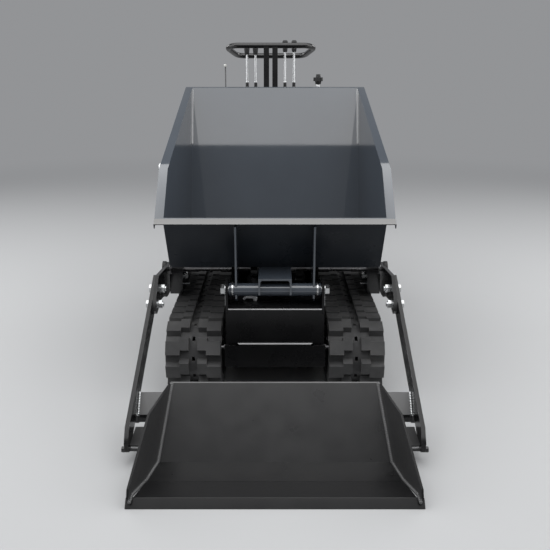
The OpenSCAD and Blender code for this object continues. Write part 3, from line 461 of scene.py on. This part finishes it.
shovel = eased("shovel", cut_edge)
wear_material(shovel, shovel_grey)
add_skin(shovel, shovel_floor_shade, on_floor)
add_skin(shovel, side_rim_shade, on_side_rim)
add_skin(shovel, pale_back_rim, on_back_rim)
add_skin(shovel, shovel_side_light, lambda face: abs(face.normal.x) > 0.7)
wear_material(eased("cutting_edge", cut_edge), shovel_floor_shade)


def fit(piece, body, material):
    """Give a new piece its finish and the body that it moves with."""
    wear_material(piece, material)
    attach(piece, body)


def weld_bead(name, start, end, radius, body, material):
    """A run of small overlapping puddles, as a welder leaves along a seam."""
    start = Vector(start)
    end = Vector(end)
    puddles = int((end - start).length / (radius * 0.75))
    bpy.ops.object.select_all(action="DESELECT")
    bpy.ops.mesh.primitive_uv_sphere_add(segments=8, ring_count=5, radius=radius, location=start)
    piece = bpy.context.object
    piece.name = name
    bpy.ops.object.transform_apply(location=True, rotation=True, scale=True)
    run = piece.modifiers.new("run", "ARRAY")
    run.count = puddles
    run.use_relative_offset = False
    run.use_constant_offset = True
    run.constant_offset_displace = (end - start) / (puddles - 1)
    bpy.ops.object.modifier_apply(modifier=run.name)
    bpy.ops.object.shade_smooth()
    fit(piece, body, material)


def flat_plate(name, corners, thickness, body, material):
    """A cut plate with its middle plane through four corners and its edges broken."""
    bpy.ops.object.select_all(action="DESELECT")
    bpy.ops.mesh.primitive_plane_add(size=1.0)
    piece = bpy.context.object
    piece.name = name
    for vertex, corner in zip(piece.data.vertices, corners):
        vertex.co = corner
    wall = piece.modifiers.new("wall", "SOLIDIFY")
    wall.thickness = thickness
    wall.offset = 0.0
    bpy.ops.object.modifier_apply(modifier=wall.name)
    break_edges(piece, width=thickness * 0.15, corner=50.0)
    fit(piece, body, material)


# Each seam: its name, the two ends on the right side, the radius of its puddles, its slot and its finish
loader_seams = (
    ("shovel_corner_weld", (0.3180, -0.871, 0.009), (0.2920, -0.7375, 0.174), 0.0065,
     "shovel_grey", weld_highlight_grey),
    ("shovel_blade_weld", (0.3355, -0.959, 0.008), (0.3528, -1.046, 0.0255), 0.0052,
     "shovel_grey", weld_highlight_grey),
    ("shovel_tip_weld", (0.3530, -1.046, 0.0245), (0.3562, -1.064, 0.0165), 0.0048,
     "shovel_grey", weld_highlight_grey),
    ("beam_weld", (0.3915, -0.699, 0.128), (0.3915, -0.7385, 0.081), 0.0055,
     "zinc", zinc),
    ("shovel_floor_weld", (0.3180, -0.873, 0.008), (0.3350, -0.959, 0.008), 0.0048,
     "shovel_grey", weld_highlight_grey),
)
for side, sign in sides.items():
    for name, start, end, radius, slot, material in loader_seams:
        start = (sign * start[0], start[1], start[2])
        end = (sign * end[0], end[1], end[2])
        weld_bead(name + "_" + side, start, end, radius, "loader", material)

stay_outside = 0.3945
stay_inside_front = 0.3255
stay_inside_back = 0.3090
stay_front = -0.857
stay_front_level = 0.0483
stay_back = -0.770
stay_back_level = 0.0560
heel_inside = 0.3895
heel_outside = 0.4055
heel_y = -0.7365
heel_foot = 0.054
heel_top = 0.084
for side, sign in sides.items():
    stay_corners = (
        (sign * stay_inside_front, stay_front, stay_front_level),
        (sign * stay_outside, stay_front, stay_front_level),
        (sign * stay_inside_back, stay_back, stay_back_level),
        (sign * stay_outside, stay_back, stay_back_level),
    )
    flat_plate("arm_stay_" + side, stay_corners, thickness=0.006,
               body="loader", material=shovel_side_light)
    heel_corners = (
        (sign * heel_inside, heel_y, heel_foot),
        (sign * heel_outside, heel_y, heel_foot),
        (sign * heel_inside, heel_y, heel_top),
        (sign * heel_outside, heel_y, heel_top),
    )
    flat_plate("arm_heel_" + side, heel_corners, thickness=0.01,
               body="loader", material=loader_black)

# Hopper
# Folded and welded sheet with a flange round the rim, in glossy slate paint that is worn paler on the front
# lip, and painted lighter there as a highlight as well. The outside and the undersides are rougher and
# painted darker as shade. Ribs, a hinge tube and a bracket are welded under the front, and a plated stud
# under the left rim. Light grey beads high in the back corners are painted highlights on the corner welds.

sheet_edge = 0.0008
wall_middle = 0.3435
hopper_slate = painted_skin("hopper_slate", (0.044, 0.053, 0.066), (0.049, 0.059, 0.073),
                            roughness=0.035, peel=0.008, specular=0.95)
# Darker on the undersides and outer faces: painted shade, on a rougher coat.
hopper_outside_shade = painted_skin("hopper_outside_shade", (0.016, 0.019, 0.024), (0.02, 0.024, 0.03),
                              roughness=0.3, peel=0.06, specular=0.25)
# Paler on the front lip: partly wear and partly a painted highlight.
lip_wear_and_highlight = painted_skin("lip_wear_and_highlight", (0.098, 0.097, 0.095), (0.108, 0.107, 0.105),
                        roughness=0.06, peel=0.02, specular=0.95)
# Light grey beads high in the back corners: a painted highlight on the corner welds, only where the light
# falls on them.
corner_weld_highlight = painted_skin("corner_weld_highlight", (0.42, 0.425, 0.43), (0.5, 0.505, 0.51),
                         roughness=0.3, peel=0.2, specular=0.6)


def on_outside(face):
    """The undersides, and the faces of the side walls and rims that look outwards."""
    faces_out = face.normal.x * face.center.x > 0.9 * wall_middle
    return face.normal.z < -0.1 or (faces_out and abs(face.center.x) > wall_middle)


def on_front_lip(face):
    """The upper face of the flange at the front."""
    return face.normal.y < -0.4 and face.normal.z > 0.8


for node in ("hopper_ribs", "hopper_bracket"):
    wear_material(eased(node, sheet_edge), hopper_slate)
shell = eased("hopper_shell", sheet_edge)
wear_material(shell, hopper_slate)
add_skin(shell, hopper_outside_shade, on_outside)
add_skin(shell, lip_wear_and_highlight, on_front_lip)
wear_material(nodes["hinge_tube"], hopper_slate)


def sleeve(name, start, end, bore, outer, body, material):
    """A plain turned ring or tube between two points, of two radii, with its rims broken."""
    start = Vector(start)
    end = Vector(end)
    bpy.ops.object.select_all(action="DESELECT")
    bpy.ops.mesh.primitive_cylinder_add(
        vertices=36, radius=(bore + outer) / 2, depth=(end - start).length, end_fill_type="NOTHING",
        location=(start + end) / 2, rotation=(end - start).to_track_quat("Z", "Y").to_euler())
    piece = bpy.context.object
    piece.name = name
    bpy.ops.object.transform_apply(location=True, rotation=True, scale=True)
    wall = piece.modifiers.new("wall", "SOLIDIFY")
    wall.thickness = outer - bore
    wall.offset = 0.0
    bpy.ops.object.modifier_apply(modifier=wall.name)
    break_edges(piece, width=(outer - bore) * 0.3, corner=60.0)
    bpy.ops.object.shade_smooth_by_angle(angle=math.radians(40))
    fit(piece, body, material)


def round_head(name, seat, out, radius, height, body, material):
    """A domed head with a flat seat, turned about the direction in which it stands out."""
    cut = 0.3
    bpy.ops.object.select_all(action="DESELECT")
    bpy.ops.mesh.primitive_uv_sphere_add(segments=28, ring_count=14, radius=radius)
    piece = bpy.context.object
    piece.name = name
    bpy.ops.object.mode_set(mode="EDIT")
    bpy.ops.mesh.select_all(action="SELECT")
    bpy.ops.mesh.bisect(plane_co=(0.0, 0.0, -radius * cut), plane_no=(0.0, 0.0, 1.0),
                        clear_inner=True, use_fill=True)
    bpy.ops.object.mode_set(mode="OBJECT")
    piece.scale = (1.0, 1.0, height / (radius * (1.0 + cut)))
    piece.rotation_euler = out.to_track_quat("Z", "Y").to_euler()
    piece.location = seat + out * height * cut / (1.0 + cut)
    bpy.ops.object.transform_apply(location=True, rotation=True, scale=True)
    bpy.ops.object.shade_smooth_by_angle(angle=math.radians(40))
    fit(piece, body, material)
    return piece


hinge_y = -0.437
hinge_level = 0.357
ring_inside = 0.1305
ring_outside = 0.1365
rib_seam_x = 0.1258
corner_seam_x = 0.3405
for side, sign in sides.items():
    sleeve("hinge_ring_" + side, (sign * ring_inside, hinge_y, hinge_level),
           (sign * ring_outside, hinge_y, hinge_level), bore=0.0204, outer=0.0238,
           body="hopper", material=zinc)
    weld_bead("rib_weld_" + side, (sign * rib_seam_x, -0.4195, 0.555),
              (sign * rib_seam_x, -0.336, 0.406), radius=0.003,
              body="hopper", material=hopper_slate)
    weld_bead("hopper_corner_weld_" + side, (sign * corner_seam_x, 0.3790, 0.722),
              (sign * corner_seam_x, 0.4555, 0.93), radius=0.0038,
              body="hopper", material=corner_weld_highlight)

stop_low, stop_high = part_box("rim_stop")
stop_seat = Vector((stop_high[0], (stop_low[1] + stop_high[1]) / 2, (stop_low[2] + stop_high[2]) / 2))
outwards = Vector((-1.0, 0.0, 0.0))
shank_end = stop_seat + outwards * 0.028
head_seat = stop_seat + outwards * 0.026
sleeve("rim_stud_shank", stop_seat, shank_end, bore=0.003, outer=0.007,
       body="hopper", material=zinc)
stud_head = round_head("rim_stud_head", head_seat, outwards, radius=0.018, height=0.019,
                       body="hopper", material=zinc)
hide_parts("rim_stop")

# Cylinders
# One cylinder tips the hopper and the other lifts the loader. Their barrels and rod eyes are painted black,
# their rods are ground and chromed, and a plated elbow screws into the port of the tip cylinder.

tip_eye_level = 0.345
lift_eye_front = -0.05
cylinder_black = painted_skin("cylinder_black", (0.014, 0.014, 0.015), (0.02, 0.02, 0.021),
                              roughness=0.3, peel=0.1)
rod_chrome = plated_skin("rod_chrome", (0.74, 0.75, 0.77), (0.68, 0.69, 0.71), roughness=0.08)
for name in ("tip", "lift"):
    wear_material(nodes[name + "_barrel"], cylinder_black)
two_skins("tip_rod", rod_chrome, cylinder_black, lambda face: face.center.z > tip_eye_level)
two_skins("lift_rod", rod_chrome, cylinder_black, lambda face: face.center.y < lift_eye_front)


def hex_nut(name, start, end, radius, body, material):
    """A hexagon between two points, with turned-down corners."""
    start = Vector(start)
    end = Vector(end)
    bpy.ops.object.select_all(action="DESELECT")
    bpy.ops.mesh.primitive_cylinder_add(
        vertices=6, radius=radius, depth=(end - start).length, location=(start + end) / 2,
        rotation=(end - start).to_track_quat("Z", "Y").to_euler())
    piece = bpy.context.object
    piece.name = name
    bpy.ops.object.transform_apply(location=True, rotation=True, scale=True)
    break_edges(piece, width=radius * 0.12, corner=50.0)
    bpy.ops.object.shade_smooth_by_angle(angle=math.radians(30))
    fit(piece, body, material)


port_seat = Vector((-0.07, -0.1883, 0.2478))
port_out = Vector((0.0, -0.7023, -0.7118))
port_turn = port_seat + port_out * 0.02
port_nut_end = port_seat + port_out * 0.014
stub_start = port_seat + port_out * 0.013
stub_end = port_turn + port_out * 0.006
elbow_start = port_turn - outwards * 0.006
elbow_end = port_turn + outwards * 0.026
port_cap_end = port_turn + outwards * 0.036
hex_nut("tip_port_nut", port_seat, port_nut_end, radius=0.0105,
        body="tip_cylinder", material=zinc)
sleeve("tip_port_stub", stub_start, stub_end, bore=0.003, outer=0.0065,
       body="tip_cylinder", material=zinc)
sleeve("tip_port_pipe", elbow_start, elbow_end, bore=0.003, outer=0.006,
       body="tip_cylinder", material=zinc)
hex_nut("tip_port_cap", elbow_end, port_cap_end, radius=0.0095,
        body="tip_cylinder", material=zinc)

# Cover pipe
# A short bent pipe in pale grey stands on the front cover, just below the hopper's hinge. Its pale paint is
# a painted glint, so that it reads bright in the shade under the hopper. A nut holds its foot, and its end
# hooks down again.

# Pale grey on the pipe and its nut: a painted glint.
pipe_painted_glint = painted_skin("pipe_painted_glint", (0.74, 0.75, 0.76), (0.82, 0.83, 0.84),
                         roughness=0.25, peel=0.05, specular=0.8)
pipe_seat = Vector((-0.064, -0.399, 0.308))
pipe_bend = pipe_seat + Vector((-0.028, 0.002, 0.010))
pipe_end = pipe_bend + Vector((-0.010, 0.002, -0.008))
pipe_nut_top = pipe_seat + Vector((0.0, 0.0, 0.011))
pipe_root = pipe_seat + Vector((0.004, 0.0, 0.0095))
tail_root = pipe_bend + Vector((0.002, 0.0, 0.0015))
hex_nut("cover_pipe_nut", pipe_seat, pipe_nut_top, radius=0.0075,
        body="chassis", material=pipe_painted_glint)
sleeve("cover_pipe", pipe_root, pipe_bend, bore=0.0015, outer=0.0038,
       body="chassis", material=pipe_painted_glint)
sleeve("cover_pipe_tail", tail_root, pipe_end, bore=0.0015, outer=0.0035,
       body="chassis", material=pipe_painted_glint)

# Engine and hydraulics
# A small air-cooled engine: cast alloy block with fins, pressed black shroud, plastic tank and air cleaner,
# and a sheet steel muffler. Its pump draws from a welded oil tank.

casting_edge = 0.0015
pressed_edge = 0.003
blown_edge = 0.008
housing_edge = 0.002
alloy = plated_skin("cast_alloy", (0.36, 0.37, 0.38), (0.3, 0.3, 0.31), roughness=0.5)
moulded = painted_skin("moulded_plastic", (0.018, 0.018, 0.019), (0.022, 0.022, 0.023),
                       roughness=0.5, peel=0.4, specular=0.4)
muffler_steel = plated_skin("muffler_steel", (0.3, 0.29, 0.28), (0.22, 0.2, 0.18), roughness=0.42)
wear_material(eased("engine_block", casting_edge), alloy)
wear_material(eased("engine_shroud", pressed_edge), rear_black)
wear_material(eased("fuel_tank", blown_edge, segments=3), moulded)
wear_material(nodes["air_cleaner"], moulded)
wear_material(eased("muffler", housing_edge), muffler_steel)
wear_material(eased("hydraulic_pump", housing_edge), iron)
wear_material(eased("oil_tank", pressed_edge), rear_black)
wear_material(nodes["oil_cap"], moulded)

# Console, handlebar and levers
# A sheet box on two square posts, a bent tube loop in black, and plated lever rods on the valve sections.
# The levers have rubber grips and boots, and the thin throttle rod ends in a pale plastic knob.

box_edge = 0.0015
bar_black = painted_skin("bar_black", (0.006, 0.006, 0.0065), (0.008, 0.008, 0.0085),
                         roughness=0.14, peel=0.03, specular=0.65)
lever_zinc = plated_skin("lever_zinc", (0.8, 0.81, 0.82), (0.72, 0.73, 0.74), roughness=0.34)
grip_rubber = rubber_skin("grip_rubber", (0.02, 0.02, 0.021), (0.034, 0.034, 0.035))
knob_white = painted_skin("knob_white", (0.62, 0.62, 0.6), (0.56, 0.56, 0.54), roughness=0.35, peel=0.05)
wear_material(eased("console", box_edge), rear_black)
wear_material(eased("handlebar_posts", box_edge), chassis_black)
wear_material(nodes["handlebar"], bar_black)
wear_material(nodes["control_valve"], iron)

grip_length = 0.0545
knob_length = 0.013
boot_foot = 0.922
boot_top = 0.946
collar_top = 0.952
rod_bore = 0.0048
for node in ("lever_tip", "lever_lift", "lever_drive_left", "lever_drive_right"):
    low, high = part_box(node)
    lever_x = (low[0] + high[0]) / 2
    lever_y = (low[1] + high[1]) / 2
    grip_foot = high[2] - grip_length
    two_skins(node, lever_zinc, grip_rubber, lambda face: face.center.z > grip_foot)
    sleeve(node + "_boot", (lever_x, lever_y, boot_foot), (lever_x, lever_y, boot_top),
           bore=rod_bore, outer=0.0075, body=body_of[node], material=grip_rubber)
    sleeve(node + "_collar", (lever_x, lever_y, boot_top), (lever_x, lever_y, collar_top),
           bore=rod_bore, outer=0.0068, body=body_of[node], material=lever_zinc)
knob_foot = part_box("throttle_lever")[1][2] - knob_length
two_skins("throttle_lever", dull_steel, knob_white, lambda face: face.center.z > knob_foot)

# Oil neck
# A short turned tube, plated like the levers, sits round the filler neck at the top of the oil tank. The
# star-shaped cap screws down above it.

cap_low, cap_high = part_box("oil_cap")
cap_x = (cap_low[0] + cap_high[0]) / 2
cap_y = (cap_low[1] + cap_high[1]) / 2
neck_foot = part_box("oil_tank")[1][2] - 0.016
neck_top = neck_foot + 0.0155
sleeve("neck_sleeve", (cap_x, cap_y, neck_foot), (cap_x, cap_y, neck_top), bore=0.0059, outer=0.0072,
       body="chassis", material=lever_zinc)
